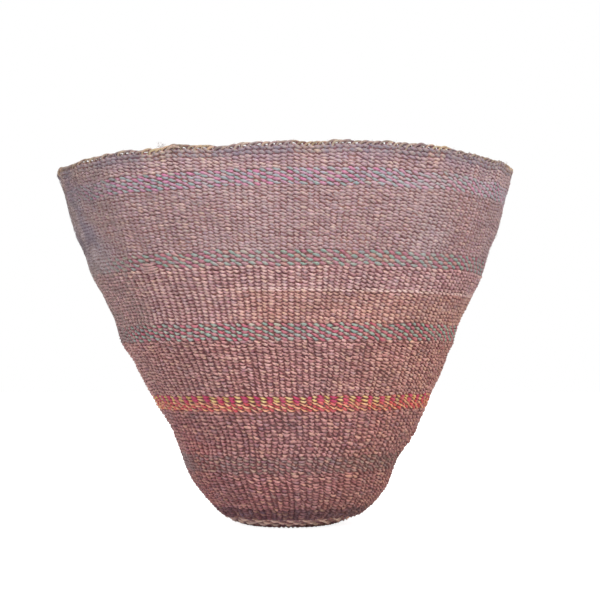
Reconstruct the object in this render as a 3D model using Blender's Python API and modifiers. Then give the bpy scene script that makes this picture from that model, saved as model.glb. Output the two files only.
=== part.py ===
"""A soft, wide-mouthed twined basket, built from its base up.

Pairs of weft yarn are twisted round upright warp cords, row on row. Each run of
rows in one colour is a ring of its own, open inside, with the true outer shape.
The rings are turned from one wall outline and then settled together, because a
soft basket leans a little, is not quite round and has shallow dents.
"""

import math

import bmesh
import bpy

# Driving sizes of the whole basket, in metres
HEIGHT = 0.2535
MOUTH_RADIUS = 0.1655
FOOT_RADIUS = 0.034
WALL_THICKNESS = 0.0046
ROW_CLEARANCE = 0.0003

# How far the soft basket settles out of a true round
LEAN = 0.0055
MOUTH_OVAL = 0.0022
DENT_DEPTH = 0.0011
RIM_SWAY = 0.0014
DENT_LOBES = 3
DENT_TWIST = 2.6

# The plaited edge, where the warp ends fold over each other, and the bare warps under it
BRAID_HEIGHT = 0.0021
BRAID_DEPTH = 0.0036
CROWN_HEIGHT = 0.0016
CROWN_THICKNESS = 0.0019

# The tucked end of the plait, which stands up from the edge
KNOT_LENGTH = 0.0110
KNOT_WIDTH = 0.0046
KNOT_RISE = 0.0012
KNOT_TURN = math.radians(-115)

# The start at the middle of the base, where two bundles of warp cords cross
START_RADIUS = 0.0110
START_CORDS = 8
START_CLEARANCE = 0.0004
CORD_CREST = 0.0005
TRIM_OVERRUN = 0.0020

# How finely the turned rings are divided
RING_STEPS = 48
WALL_SPANS = 21
BRAID_SIDES = 10
CURVE_STEPS = 6
CREST_STEPS = 4
KNOT_SEGMENTS = 16
KNOT_RINGS = 8
MERGE_DISTANCE = 0.00001
SHARP_ANGLE = math.radians(50)

# The wall outline: shares of the height, and of the way from foot to mouth radius
OUTLINE_SHARES = (
    (0.000, 0.000), (0.006, 0.053), (0.019, 0.100), (0.036, 0.150), (0.070, 0.213),
    (0.105, 0.265), (0.139, 0.298), (0.207, 0.357), (0.241, 0.392), (0.327, 0.475),
    (0.429, 0.576), (0.480, 0.621), (0.514, 0.656), (0.582, 0.698), (0.616, 0.728),
    (0.650, 0.764), (0.701, 0.815), (0.768, 0.859), (0.835, 0.909), (0.902, 0.948),
    (0.968, 0.986), (1.000, 1.000),
)

# The sideways lean: shares of the height, and of the most that the wall leans
LEAN_SHARES = (
    (0.000, 0.50), (0.020, 0.50), (0.036, 0.66), (0.070, 0.87), (0.105, 0.78),
    (0.173, 0.47), (0.240, 0.92), (0.276, 1.00), (0.378, 0.67), (0.460, 0.47),
    (0.520, 0.17), (0.620, 0.26), (0.770, 0.04), (1.000, 0.00),
)

# The runs of weft from the base up: where each ends, as shares of the woven height
WEFT_EDGE_SHARES = (
    0.033, 0.067, 0.162, 0.209, 0.334, 0.375, 0.523, 0.567, 0.711, 0.750, 0.908, 0.950, 1.000,
)
WEFT_RUNS = (
    ("foot_line_weft", (0.45, 0.30, 0.28)),
    ("foot_band_weft", (0.13, 0.065, 0.07)),
    ("plain_weft_1", (0.27, 0.12, 0.12)),
    ("faint_band_weft", (0.24, 0.15, 0.14)),
    ("plain_weft_2", (0.30, 0.145, 0.14)),
    ("red_yellow_band_weft", (0.52, 0.12, 0.09)),
    ("plain_weft_3", (0.36, 0.185, 0.17)),
    ("lower_mint_band_weft", (0.30, 0.24, 0.23)),
    ("plain_weft_4", (0.40, 0.22, 0.20)),
    ("middle_mint_band_weft", (0.32, 0.26, 0.26)),
    ("plain_weft_5", (0.38, 0.245, 0.245)),
    ("pink_mint_band_weft", (0.40, 0.25, 0.30)),
    ("top_weft", (0.36, 0.25, 0.26)),
)
BASE_EDGE_SHARE = 0.006
BASE_COLOUR = (0.22, 0.12, 0.12)
WARP_COLOUR = (0.30, 0.20, 0.17)
BRAID_COLOUR = (0.40, 0.30, 0.25)
FIBRE_ROUGHNESS = 0.85

CROWN_BOTTOM = HEIGHT - BRAID_HEIGHT - CROWN_HEIGHT
WOVEN_HEIGHT = CROWN_BOTTOM - ROW_CLEARANCE


def remove_everything():
    for old in list(bpy.data.objects):
        bpy.data.objects.remove(old, do_unlink=True)


def new_collection(name):
    collection = bpy.data.collections.new(name)
    bpy.context.scene.collection.children.link(collection)
    return collection


def fibre_material(name, colour):
    material = bpy.data.materials.new(name)
    material.use_nodes = True
    surface = material.node_tree.nodes["Principled BSDF"]
    surface.inputs["Base Color"].default_value = (*colour, 1.0)
    surface.inputs["Roughness"].default_value = FIBRE_ROUGHNESS
    surface.inputs["Metallic"].default_value = 0.0
    return material


def smooth_through(points, steps):
    """Points of an even curve that passes through each given (height, value) point."""
    last = len(points) - 1
    curve = []
    for index in range(last):
        before = points[max(index - 1, 0)]
        start = points[index]
        end = points[index + 1]
        after = points[min(index + 2, last)]
        for step in range(steps):
            t = step / steps
            curve.append(tuple(
                ((2 * b) + (c - a) * t + (2 * a - 5 * b + 4 * c - d) * t * t
                 + (3 * b - a - 3 * c + d) * t ** 3) / 2
                for a, b, c, d in zip(before, start, end, after)
            ))
    curve.append(points[last])
    return curve


OUTLINE = [
    (height_share * HEIGHT, FOOT_RADIUS + radius_share * (MOUTH_RADIUS - FOOT_RADIUS))
    for height_share, radius_share in smooth_through(OUTLINE_SHARES, CURVE_STEPS)
]
LEAN_CURVE = smooth_through(LEAN_SHARES, CURVE_STEPS)


def value_at(curve, place):
    """Reads a curve of (place, value) points, held level past its ends."""
    for (low, low_value), (high, high_value) in zip(curve, curve[1:]):
        if place <= high:
            share = max((place - low) / (high - low), 0.0)
            return low_value + share * (high_value - low_value)
    return curve[-1][1]


def wall_direction(height):
    """The unit direction (radius, height) in which the wall climbs at this height."""
    step = HEIGHT / (len(OUTLINE) * CURVE_STEPS)
    low = max(height - step, 0.0)
    high = min(height + step, HEIGHT)
    widening = value_at(OUTLINE, high) - value_at(OUTLINE, low)
    length = math.hypot(widening, high - low)
    return widening / length, (high - low) / length


def wall_point(height, depth, along=0.0):
    """A (radius, height) point set in from the outer face, slid a little up the wall."""
    outward, upward = wall_direction(height)
    radius = value_at(OUTLINE, height)
    return (
        radius - depth * upward + along * outward,
        height + depth * outward + along * upward,
    )


def settle(co):
    """Leans, ovals and dents a point of the true round basket."""
    rise = co.z / HEIGHT
    turn = math.atan2(co.y, co.x)
    dent = DENT_DEPTH * math.sin(math.pi * rise) * math.sin(DENT_LOBES * turn + DENT_TWIST * rise)
    lean = LEAN * value_at(LEAN_CURVE, rise)
    narrowing = MOUTH_OVAL * rise / MOUTH_RADIUS
    sway = RIM_SWAY * rise ** 3 * math.sin(2 * turn)
    return (
        co.x + dent * math.cos(turn) + lean,
        co.y * (1 - narrowing) + dent * math.sin(turn),
        co.z - sway,
    )


def turned_ring(name, section, collection):
    """A ring turned from a closed (radius, height) section that runs down its outer side."""
    mesh = bpy.data.meshes.new(name)
    edges = [(index, (index + 1) % len(section)) for index in range(len(section))]
    mesh.from_pydata([(radius, 0.0, height) for radius, height in section], edges, [])
    ring = bpy.data.objects.new(name, mesh)
    collection.objects.link(ring)
    turning = ring.modifiers.new("Turned", "SCREW")
    turning.steps = RING_STEPS
    turning.render_steps = RING_STEPS
    turning.use_merge_vertices = True
    turning.merge_threshold = MERGE_DISTANCE
    bpy.context.view_layer.update()
    evaluated = ring.evaluated_get(bpy.context.evaluated_depsgraph_get())
    turned = bpy.data.meshes.new_from_object(evaluated)
    ring.modifiers.remove(turning)
    for vertex in turned.vertices:
        vertex.co = settle(vertex.co)
    turned.name = name
    ring.data = turned
    ring.data.shade_smooth()
    ring.data.set_sharp_from_angle(angle=SHARP_ANGLE)
    return ring


def wall_section(low, high):
    """The section of one run of weft, from its top outer corner down and back up inside."""
    spans = max(1, round(WALL_SPANS * (high - low) / HEIGHT))
    gap = ROW_CLEARANCE / 2
    heights = [high - (high - low) * index / spans for index in range(spans + 1)]
    slides = [-gap] + [0.0] * (spans - 1) + [gap]
    outer = [wall_point(height, 0.0, slide) for height, slide in zip(heights, slides)]
    inner = [wall_point(height, WALL_THICKNESS, slide) for height, slide in zip(heights, slides)]
    return outer + inner[::-1]


def base_section(hole_radius, edge):
    """The base's section: a flat underside, and an edge that turns up to the wall."""
    gap = ROW_CLEARANCE / 2
    edge_outer = wall_point(edge, 0.0, -gap)
    edge_inner = wall_point(edge, WALL_THICKNESS, -gap)
    return [
        edge_outer,
        (FOOT_RADIUS, 0.0),
        (hole_radius, 0.0),
        (hole_radius, WALL_THICKNESS),
        (FOOT_RADIUS, WALL_THICKNESS),
        edge_inner,
    ]


def braid_section(growth):
    """An oval round the plaited edge, larger by the growth all round."""
    middle_radius = MOUTH_RADIUS - BRAID_DEPTH / 2
    middle_height = HEIGHT - BRAID_HEIGHT / 2
    points = []
    for side in range(BRAID_SIDES):
        angle = math.pi / 2 - math.tau * side / BRAID_SIDES
        points.append((
            middle_radius + (BRAID_DEPTH / 2 + growth) * math.cos(angle),
            middle_height + (BRAID_HEIGHT / 2 + growth) * math.sin(angle),
        ))
    return points


def crown_section():
    """The bare warps between the last weft and the plait, in the middle of the wall."""
    depth = (WALL_THICKNESS - CROWN_THICKNESS) / 2
    bottom_outer = wall_point(CROWN_BOTTOM, depth)
    bottom_inner = wall_point(CROWN_BOTTOM, depth + CROWN_THICKNESS)
    top = HEIGHT - BRAID_HEIGHT - ROW_CLEARANCE
    return [
        (bottom_outer[0], top),
        bottom_outer,
        bottom_inner,
        (bottom_inner[0], top),
    ]


def cord_bundle(name, bottom, thickness, heading, trim, collection):
    """Warp cords side by side, with a crest for each cord, trimmed where the first weft closes."""
    half_width = START_RADIUS + START_CLEARANCE
    cord_width = 2 * half_width / START_CORDS
    valley = thickness - CORD_CREST
    points = [(-half_width, 0.0), (half_width, 0.0)]
    for cord in range(START_CORDS):
        middle = half_width - (cord + 0.5) * cord_width
        for step in range(CREST_STEPS):
            angle = math.pi * step / CREST_STEPS
            points.append((
                middle + cord_width / 2 * math.cos(angle),
                valley + CORD_CREST * math.sin(angle),
            ))
    points.append((-half_width, valley))
    outline = bpy.data.curves.new(name, "CURVE")
    outline.dimensions = "2D"
    outline.fill_mode = "BOTH"
    outline.extrude = half_width
    spline = outline.splines.new("POLY")
    spline.points.add(len(points) - 1)
    for point, (across, up) in zip(spline.points, points):
        point.co = (across, up, 0.0, 1.0)
    spline.use_cyclic_u = True
    extruded = bpy.data.objects.new(name, outline)
    collection.objects.link(extruded)
    extruded.rotation_euler = (math.pi / 2, 0.0, heading)
    extruded.location = (LEAN * LEAN_CURVE[0][1], 0.0, bottom)
    bpy.context.view_layer.update()
    evaluated = extruded.evaluated_get(bpy.context.evaluated_depsgraph_get())
    mesh = bpy.data.meshes.new_from_object(evaluated)
    shape = bmesh.new()
    shape.from_mesh(mesh)
    bmesh.ops.remove_doubles(shape, verts=shape.verts, dist=MERGE_DISTANCE)
    shape.to_mesh(mesh)
    shape.free()
    place = extruded.matrix_world.copy()
    bpy.data.objects.remove(extruded, do_unlink=True)
    bundle = bpy.data.objects.new(name, mesh)
    bundle.matrix_world = place
    collection.objects.link(bundle)
    trimming = bundle.modifiers.new("Trimmed round", "BOOLEAN")
    trimming.operation = "INTERSECT"
    trimming.solver = "EXACT"
    trimming.object = trim
    return bundle


def tucked_end(name, braid_cutter, collection):
    """The end of the plait, a small oval lump that is hollowed below to sit on the plait."""
    mesh = bpy.data.meshes.new(name)
    shape = bmesh.new()
    bmesh.ops.create_uvsphere(
        shape, u_segments=KNOT_SEGMENTS, v_segments=KNOT_RINGS, radius=KNOT_LENGTH / 2
    )
    middle_radius = MOUTH_RADIUS - BRAID_DEPTH / 2
    knot_half_height = (KNOT_RISE + BRAID_HEIGHT / 2) / 2
    seat = HEIGHT + KNOT_RISE - knot_half_height
    for vertex in shape.verts:
        across = vertex.co.x * KNOT_WIDTH / KNOT_LENGTH
        up = vertex.co.z * knot_half_height * 2 / KNOT_LENGTH
        turn = KNOT_TURN + vertex.co.y / middle_radius
        radius = middle_radius + across
        vertex.co = (radius * math.cos(turn), radius * math.sin(turn), seat + up)
        vertex.co = settle(vertex.co)
    shape.to_mesh(mesh)
    shape.free()
    mesh.shade_smooth()
    knot = bpy.data.objects.new(name, mesh)
    collection.objects.link(knot)
    hollow = knot.modifiers.new("Seat on the plait", "BOOLEAN")
    hollow.operation = "DIFFERENCE"
    hollow.solver = "EXACT"
    hollow.object = braid_cutter
    return knot


def build_basket():
    basket = new_collection("Twined basket")
    cutters = new_collection("Cutters")

    bpy.ops.mesh.primitive_cylinder_add(
        vertices=RING_STEPS,
        radius=START_RADIUS,
        depth=2 * (WALL_THICKNESS + TRIM_OVERRUN),
        location=(LEAN * LEAN_CURVE[0][1], 0.0, 0.0),
    )
    trim = bpy.context.object
    trim.name = "start_trim"
    trim.hide_render = True
    trim.display_type = "WIRE"
    for owner in trim.users_collection:
        owner.objects.unlink(trim)
    cutters.objects.link(trim)
    thickness = (WALL_THICKNESS - ROW_CLEARANCE) / 2
    upper_bottom = thickness + ROW_CLEARANCE
    lower = cord_bundle("warp_start_lower", 0.0, thickness, 0.0, trim, basket)
    upper = cord_bundle("warp_start_upper", upper_bottom, thickness, math.pi / 2, trim, basket)
    for bundle in (lower, upper):
        bundle.data.materials.append(fibre_material(bundle.name, WARP_COLOUR))

    hole_radius = START_RADIUS + START_CLEARANCE
    low = BASE_EDGE_SHARE * WOVEN_HEIGHT
    base = turned_ring("base_weft", base_section(hole_radius, low), basket)
    base.data.materials.append(fibre_material("base_weft", BASE_COLOUR))

    for (name, colour), edge_share in zip(WEFT_RUNS, WEFT_EDGE_SHARES):
        high = edge_share * WOVEN_HEIGHT
        ring = turned_ring(name, wall_section(low, high), basket)
        ring.data.materials.append(fibre_material(name, colour))
        low = high

    crown = turned_ring("warp_crown", crown_section(), basket)
    crown.data.materials.append(fibre_material("warp_crown", WARP_COLOUR))

    braid = turned_ring("rim_braid", braid_section(0.0), basket)
    braid.data.materials.append(fibre_material("rim_braid", BRAID_COLOUR))

    braid_cutter = turned_ring("braid_seat", braid_section(ROW_CLEARANCE), cutters)
    braid_cutter.hide_render = True
    braid_cutter.display_type = "WIRE"
    knot = tucked_end("rim_end_knot", braid_cutter, basket)
    knot.data.materials.append(fibre_material("rim_end_knot", BRAID_COLOUR))


remove_everything()
build_basket()
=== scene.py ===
import math

import bpy
import numpy as np
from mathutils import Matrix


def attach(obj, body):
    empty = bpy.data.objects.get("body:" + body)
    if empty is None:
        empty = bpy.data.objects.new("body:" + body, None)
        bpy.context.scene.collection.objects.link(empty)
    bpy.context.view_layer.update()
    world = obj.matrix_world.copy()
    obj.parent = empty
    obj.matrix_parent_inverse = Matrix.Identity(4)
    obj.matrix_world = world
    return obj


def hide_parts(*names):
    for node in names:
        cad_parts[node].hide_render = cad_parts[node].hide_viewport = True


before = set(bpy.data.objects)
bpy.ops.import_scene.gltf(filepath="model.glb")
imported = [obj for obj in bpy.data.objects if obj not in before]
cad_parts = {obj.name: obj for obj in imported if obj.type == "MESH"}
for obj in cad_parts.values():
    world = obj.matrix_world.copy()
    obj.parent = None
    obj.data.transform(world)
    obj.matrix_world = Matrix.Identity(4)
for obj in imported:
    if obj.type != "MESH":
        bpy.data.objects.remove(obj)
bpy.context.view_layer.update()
scene = bpy.context.scene


# The wall that every yarn and cord follows. It is no piece of the basket but a guide a little
# inside the wall's outer face, from the base up to the rim: the outline, lean and dents of the
# rings, with the small unevenness of hand work. It is taken away before the end.
HEIGHT = 0.2535
MOUTH_RADIUS = 0.1655
FOOT_RADIUS = 0.034
MIDDLE_DEPTH = 0.0019
LEAN = 0.0055
MOUTH_OVAL = 0.0022
DENT_DEPTH = 0.0011
DENT_LOBES = 3
DENT_TWIST = 2.6
RIM_SWAY = 0.0014
# Share of the height, and share of the way from the foot's radius to the mouth's
OUTLINE_SHARES = (
    (0.000, 0.000), (0.006, 0.034), (0.019, 0.092), (0.036, 0.150), (0.070, 0.213),
    (0.105, 0.265), (0.139, 0.298), (0.207, 0.357), (0.241, 0.392), (0.327, 0.475),
    (0.429, 0.576), (0.480, 0.621), (0.514, 0.656), (0.582, 0.698), (0.616, 0.728),
    (0.650, 0.764), (0.701, 0.815), (0.768, 0.859), (0.835, 0.909), (0.902, 0.948),
    (0.968, 0.986), (1.000, 1.000),
)
# Share of the height, and share of the lean to the right
LEAN_SHARES = (
    (0.000, 0.34), (0.020, 0.44), (0.036, 0.66), (0.070, 0.87), (0.105, 0.78),
    (0.173, 0.47), (0.240, 0.92), (0.276, 1.00), (0.378, 0.52), (0.460, 0.30),
    (0.520, 0.02), (0.620, 0.10), (0.770, 0.02), (1.000, 0.00),
)
# The worn rim dips and lifts: degrees from the front, metres up
RIM_DIPS = (
    (-180, 0.0), (-150, 0.0008), (-120, -0.0004), (-85, -0.0005), (-75, -0.0005), (-65, -0.0007),
    (-60, -0.0010), (-55, -0.0003), (-50, 0.0002), (-43, 0.0010), (-35, 0.0006), (-28, 0.0005),
    (-20, -0.0003), (-14, -0.0008), (-7, -0.0004), (0, 0.0010), (5, -0.0002), (10, 0.0005),
    (18, 0.0013), (25, 0.0021), (30, 0.0008), (40, 0.0008), (46, -0.0003), (59, -0.0010),
    (67, -0.0002), (75, 0.0005), (85, 0.0004), (110, -0.0003), (150, 0.0005), (180, 0.0),
)
DIP_REACH = 0.045
# It flares at the left corner: degrees from the front, metres out
RIM_FLARES = ((-180, 0.0), (-96, 0.0), (-84, 0.0016), (-76, 0.0010), (-68, 0.0), (180, 0.0))
FLARE_REACH = 0.006
# The warps stand further apart on both sides than in front: degrees from the front, share
COLUMN_SPREAD = (
    (-180, 0.90), (-96, 0.90), (-74, 1.18), (-36, 1.18), (-16, 0.97), (16, 0.97), (36, 1.18),
    (74, 1.18), (96, 0.90), (180, 0.90),
)
# How hand work wanders: metres, how many waves add up, how often they run round, how long they are
# along the wall, and the seed. It is even near the middle of the base.
SIDE_WANDER = (0.00032, 26, (6, 70), (0.04, 0.16), 11)
ROW_WANDER = (0.00035, 16, (3, 40), (0.03, 0.12), 12)
FINE_ROW_WANDER = (0.00014, 16, (30, 110), (0.007, 0.02), 13)
BULGES = (0.00035, 18, (4, 44), (0.015, 0.08), 14)
EVEN_BASE = 0.06
CURVE_STEPS = 6
COLUMN_STEPS = 720
WALL_STEPS = 132
GUIDE_START = 0.006
GUIDE_AROUND = 480
GUIDE_ALONG = 300
BACK = math.pi / 2


def smooth_through(points):
    """Places and values of an even curve that passes through each given point."""
    points = np.array(points)
    last = len(points) - 1
    curve = []
    for index in range(last):
        before = points[max(index - 1, 0)]
        start = points[index]
        end = points[index + 1]
        after = points[min(index + 2, last)]
        for t in np.arange(CURVE_STEPS) / CURVE_STEPS:
            curve.append((
                2 * start + (end - before) * t + (2 * before - 5 * start + 4 * end - after) * t ** 2
                + (3 * start - before - 3 * end + after) * t ** 3
            ) / 2)
    curve.append(points[last])
    return np.array(curve).T


def wander(turn, along, reach, count, rounds, lengths, seed):
    """Soft unevenness: waves that run whole numbers of times round the basket, added up."""
    draw = np.random.default_rng(seed)
    total = np.zeros_like(turn)
    for _ in range(count):
        around = int(draw.integers(*rounds)) * (1 if draw.random() < 0.5 else -1)
        length = draw.uniform(*lengths)
        phase = draw.uniform(0.0, math.tau)
        total += np.sin(math.tau * (around * turn + along / length) + phase)
    even = np.clip(along / EVEN_BASE, 0.0, 1.0) ** 2
    return reach * even * (total * math.sqrt(2 / count))


outline_share, radius_share = smooth_through(OUTLINE_SHARES)
lean_place, lean_share = smooth_through(LEAN_SHARES)
dip_place, dip_lift = smooth_through(RIM_DIPS)
flare_place, flare_out = np.array(RIM_FLARES).T
spread_place, spread_share = np.array(COLUMN_SPREAD).T
column_marks = np.linspace(0.0, 1.0, COLUMN_STEPS + 1)
mark_spread = np.interp(column_marks * 360 - 180, spread_place, spread_share)
angle_marks = np.concatenate(([0.0], np.cumsum(mark_spread[1:] + mark_spread[:-1])))
angle_marks /= angle_marks[-1]
wall_heights = np.linspace(0.0, HEIGHT, WALL_STEPS + 1)
wall_radii = FOOT_RADIUS + (MOUTH_RADIUS - FOOT_RADIUS) * np.interp(
    wall_heights, outline_share * HEIGHT, radius_share
)
widening = np.gradient(wall_radii)
rising = np.gradient(wall_heights)
slope_length = np.hypot(widening, rising)
middle_radii = wall_radii - MIDDLE_DEPTH * rising / slope_length
middle_heights = wall_heights + MIDDLE_DEPTH * widening / slope_length
path_radius = np.concatenate(([0.0], middle_radii))
path_height = np.concatenate(([middle_heights[0]], middle_heights))
path_steps = np.hypot(np.diff(path_radius), np.diff(path_height))
path_along = np.concatenate(([0.0], np.cumsum(path_steps)))


def along_at(height):
    """The way along the wall, from the middle of the base, to this height on its outer face."""
    return float(np.interp(height, wall_heights, path_along[1:]))


def on_wall(turn, along):
    """Points of the settled, uneven wall, by share of the columns from the back and way along it."""
    round_share = np.interp(turn % 1.0, column_marks, angle_marks)
    azimuth = round_share * 360 - 180
    from_top = along - path_along[-1]
    flaring = np.clip(from_top / FLARE_REACH + 1, 0.0, 1.0) ** 2
    dipping = np.clip(from_top / DIP_REACH + 1, 0.0, 1.0) ** 2
    flare = flaring * np.interp(azimuth, flare_place, flare_out)
    dip = dipping * np.interp(azimuth, dip_place, dip_lift)
    rows = wander(turn, along, *ROW_WANDER) + wander(turn, along, *FINE_ROW_WANDER)
    bulge = wander(turn, along, *BULGES)
    radius = np.interp(along + rows, path_along, path_radius) + bulge + flare
    height = np.interp(along + rows, path_along, path_height) + dip
    sideways = wander(turn, along, *SIDE_WANDER)
    angle = BACK + math.tau * round_share + sideways / np.maximum(radius, FOOT_RADIUS / 2)
    rise = height / HEIGHT
    lean = LEAN * np.interp(rise, lean_place, lean_share)
    dent = DENT_DEPTH * np.sin(math.pi * rise) * np.sin(DENT_LOBES * angle + DENT_TWIST * rise)
    across = radius * np.cos(angle) + dent * np.cos(angle) + lean
    oval = 1 - MOUTH_OVAL * rise / MOUTH_RADIUS
    deep = radius * np.sin(angle) * oval + dent * np.sin(angle)
    sway = RIM_SWAY * rise ** 3 * np.sin(2 * angle)
    return np.stack((across, deep, height - sway), axis=-1)


turn_marks = np.arange(GUIDE_AROUND + 1) / GUIDE_AROUND
along_marks = np.linspace(GUIDE_START, path_along[-1], GUIDE_ALONG + 1)
guide_turn, guide_along = np.meshgrid(turn_marks[:-1], along_marks)
guide_points = on_wall(guide_turn, guide_along).reshape(-1, 3)
left, low = np.meshgrid(np.arange(GUIDE_AROUND), np.arange(GUIDE_ALONG))
right = (left + 1) % GUIDE_AROUND
corners = np.stack((
    low * GUIDE_AROUND + left, low * GUIDE_AROUND + right,
    (low + 1) * GUIDE_AROUND + right, (low + 1) * GUIDE_AROUND + left,
), axis=-1).reshape(-1, 4)
guide_mesh = bpy.data.meshes.new("wall_guide")
guide_mesh.from_pydata(guide_points.tolist(), [], corners.tolist())
guide_map = guide_mesh.uv_layers.new(name="Wall")
corner_turn = turn_marks[np.stack((left, left + 1, left + 1, left), axis=-1)].ravel()
corner_along = along_marks[np.stack((low, low, low + 1, low + 1), axis=-1)].ravel()
guide_map.uv.foreach_set("vector", np.stack((corner_turn, corner_along), axis=-1).ravel())
guide_mesh.shade_smooth()
guide = bpy.data.objects.new("wall_guide", guide_mesh)
scene.collection.objects.link(guide)


# The weft: two yarns that go round together and twist half a turn between one warp cord and the
# next, so that each in its turn lies outside as a short slanting stitch. They climb in one
# unbroken spiral from the base to the rim. One geometry tree lays one yarn of any run of rows.
ROW_PITCH = 0.0023
# A stitch swings this far out of the wall's middle, and this far up and down
STITCH_THROW = 0.00102
STITCH_DROP = 0.00052
YARN_DEPTH = 0.00165
LOOSENESS = 0.00032
UNEVEN_TWIST = 0.34
DRIFT_RATE = 0.8
SEED_STEP = 31.7
LOOSE_OUT_SHARE = 0.6
PLUMPNESS = 0.13
# Half a yarn's height and depth where it crosses between two warps, and what each gains where the
# yarn lies flat, as shares of the whole
CROSSING_HEIGHT = 0.26
CROSSING_DEPTH = 0.45
HEIGHT_GAIN = 0.26
DEPTH_GAIN = 0.05
# How much painted shade darkens the underside of each yarn
UNDERSIDE_SHADE = 0.45
SEGMENTS_PER_STITCH = 4
YARN_SIDES = 5
# The share of a turn after which the pattern shifts to meet the next row
SEAM_SHARE = 0.97
CLIMB_STEP = 0.001
SOCKETS = {
    "geometry": "NodeSocketGeometry", "object": "NodeSocketObject",
    "material": "NodeSocketMaterial", "number": "NodeSocketFloat", "count": "NodeSocketInt",
    "vector": "NodeSocketVector", "colour": "NodeSocketColor",
}


def new_group(name, kind, takes, gives):
    """A node group with named sockets; returns it, what it is given, and what it has to put out."""
    tree = bpy.data.node_groups.new(name, kind)
    for label, socket in takes.items():
        tree.interface.new_socket(name=label, in_out="INPUT", socket_type=SOCKETS[socket])
    for label, socket in gives.items():
        tree.interface.new_socket(name=label, in_out="OUTPUT", socket_type=SOCKETS[socket])
    return tree, tree.nodes.new("NodeGroupInput").outputs, tree.nodes.new("NodeGroupOutput").inputs


def fill(tree, sockets, values):
    """Links or sets sockets by their names or numbers."""
    for key, value in values.items():
        if isinstance(value, bpy.types.NodeSocket):
            tree.links.new(value, sockets[key])
        else:
            sockets[key].default_value = value


def add(tree, kind, values=None, **options):
    """Adds a node, sets its options and fills its inputs; returns its outputs."""
    made = tree.nodes.new(kind)
    for option, value in options.items():
        setattr(made, option, value)
    fill(tree, made.inputs, values or {})
    return made.outputs


def calc(tree, operation, *terms):
    """One step of arithmetic; returns its result."""
    return add(tree, "ShaderNodeMath", dict(enumerate(terms)), operation=operation)[0]


def vector_calc(tree, operation, *terms, gives="Vector"):
    """One step of arithmetic on vectors; returns its result."""
    return add(tree, "ShaderNodeVectorMath", dict(enumerate(terms)), operation=operation)[gives]


def scaled(tree, vector, amount):
    """A vector times a number."""
    return add(tree, "ShaderNodeVectorMath", {0: vector, "Scale": amount}, operation="SCALE")[0]


def added(tree, *vectors):
    """The sum of several vectors."""
    total = vectors[0]
    for vector in vectors[1:]:
        total = vector_calc(tree, "ADD", total, vector)
    return total


def built(tree, x, y, z=0.0):
    """A vector from its three parts."""
    return add(tree, "ShaderNodeCombineXYZ", {"X": x, "Y": y, "Z": z})[0]


def parts(tree, vector):
    """The three parts of a vector, by the names X, Y and Z."""
    return add(tree, "ShaderNodeSeparateXYZ", {0: vector})


def eased(tree, value, low, high, most=1.0):
    """Rises softly from nothing to the most while the value goes from low to high."""
    return add(tree, "ShaderNodeMapRange", {
        "Value": value, "From Min": low, "From Max": high, "To Max": most,
    }, interpolation_type="SMOOTHSTEP")[0]


def noise(tree, place, scale, detail, roughness=0.5):
    """Soft noise about a half: in space, or along a line where the place is one number."""
    socket, dimensions = ("W", "1D") if place.type == "VALUE" else ("Vector", "3D")
    return add(tree, "ShaderNodeTexNoise", {
        socket: place, "Scale": scale, "Detail": detail, "Roughness": roughness,
    }, noise_dimensions=dimensions)


def varied(tree, value, noise_value, spread):
    """A value moved up and down by noise that lies about a half."""
    return calc(tree, "MULTIPLY_ADD", calc(tree, "SUBTRACT", noise_value, 0.5), spread, value)


def chances(tree, number, seed):
    """A vector of three random numbers between -1 and 1 for each whole number."""
    return add(tree, "FunctionNodeRandomValue", {
        0: (-1.0, -1.0, -1.0), 1: (1.0, 1.0, 1.0), 7: number, 8: seed,
    }, data_type="FLOAT_VECTOR")[0]


wall_place, given, wanted = new_group(
    "Place on the wall", "GeometryNodeTree",
    {"Guide": "object", "Turn": "number", "Along": "number"},
    {"Place": "vector", "Outward": "vector", "Upward": "vector"},
)
guide_shape = add(wall_place, "GeometryNodeObjectInfo", {"Object": given["Guide"]})["Geometry"]
guide_uv = add(
    wall_place, "GeometryNodeInputNamedAttribute", {"Name": "Wall"}, data_type="FLOAT_VECTOR"
)["Attribute"]
here = built(wall_place, given["Turn"], given["Along"])
found = {}
for label, what, step in (
    ("Place", "GeometryNodeInputPosition", 0.0), ("Outward", "GeometryNodeInputNormal", 0.0),
    ("Higher", "GeometryNodeInputPosition", CLIMB_STEP),
    ("Lower", "GeometryNodeInputPosition", -CLIMB_STEP),
):
    found[label] = add(wall_place, "GeometryNodeSampleUVSurface", {
        "Mesh": guide_shape, "Value": add(wall_place, what)[0], "UV Map": guide_uv,
        "Sample UV": added(wall_place, here, (0.0, step, 0.0)) if step else here,
    }, data_type="FLOAT_VECTOR")["Value"]
climb = vector_calc(wall_place, "SUBTRACT", found["Higher"], found["Lower"])
wall_place.links.new(found["Place"], wanted["Place"])
wall_place.links.new(found["Outward"], wanted["Outward"])
wall_place.links.new(vector_calc(wall_place, "NORMALIZE", climb), wanted["Upward"])


def placed_on_wall(tree, guide_object, turn, along):
    """The place, outward and upward directions at a turn and a way along the wall."""
    return add(tree, "GeometryNodeGroup", {
        "Guide": guide_object, "Turn": turn, "Along": along,
    }, node_tree=wall_place)


def captured(tree, geometry, **fields):
    """Keeps values found on a line, so that the tube made from it can read them."""
    node = tree.nodes.new("GeometryNodeCaptureAttribute")
    for label, field in fields.items():
        node.capture_items.new("VECTOR" if field.type == "VECTOR" else "FLOAT", label)
    fill(tree, node.inputs, {"Geometry": geometry, **fields})
    return node.outputs


def tubed(tree, lines, profile, scale=1.0):
    """Closed tubes with this profile along lines."""
    return add(tree, "GeometryNodeCurveToMesh", {
        "Curve": lines, "Profile Curve": profile, "Scale": scale, "Fill Caps": True,
    })[0]


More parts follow.
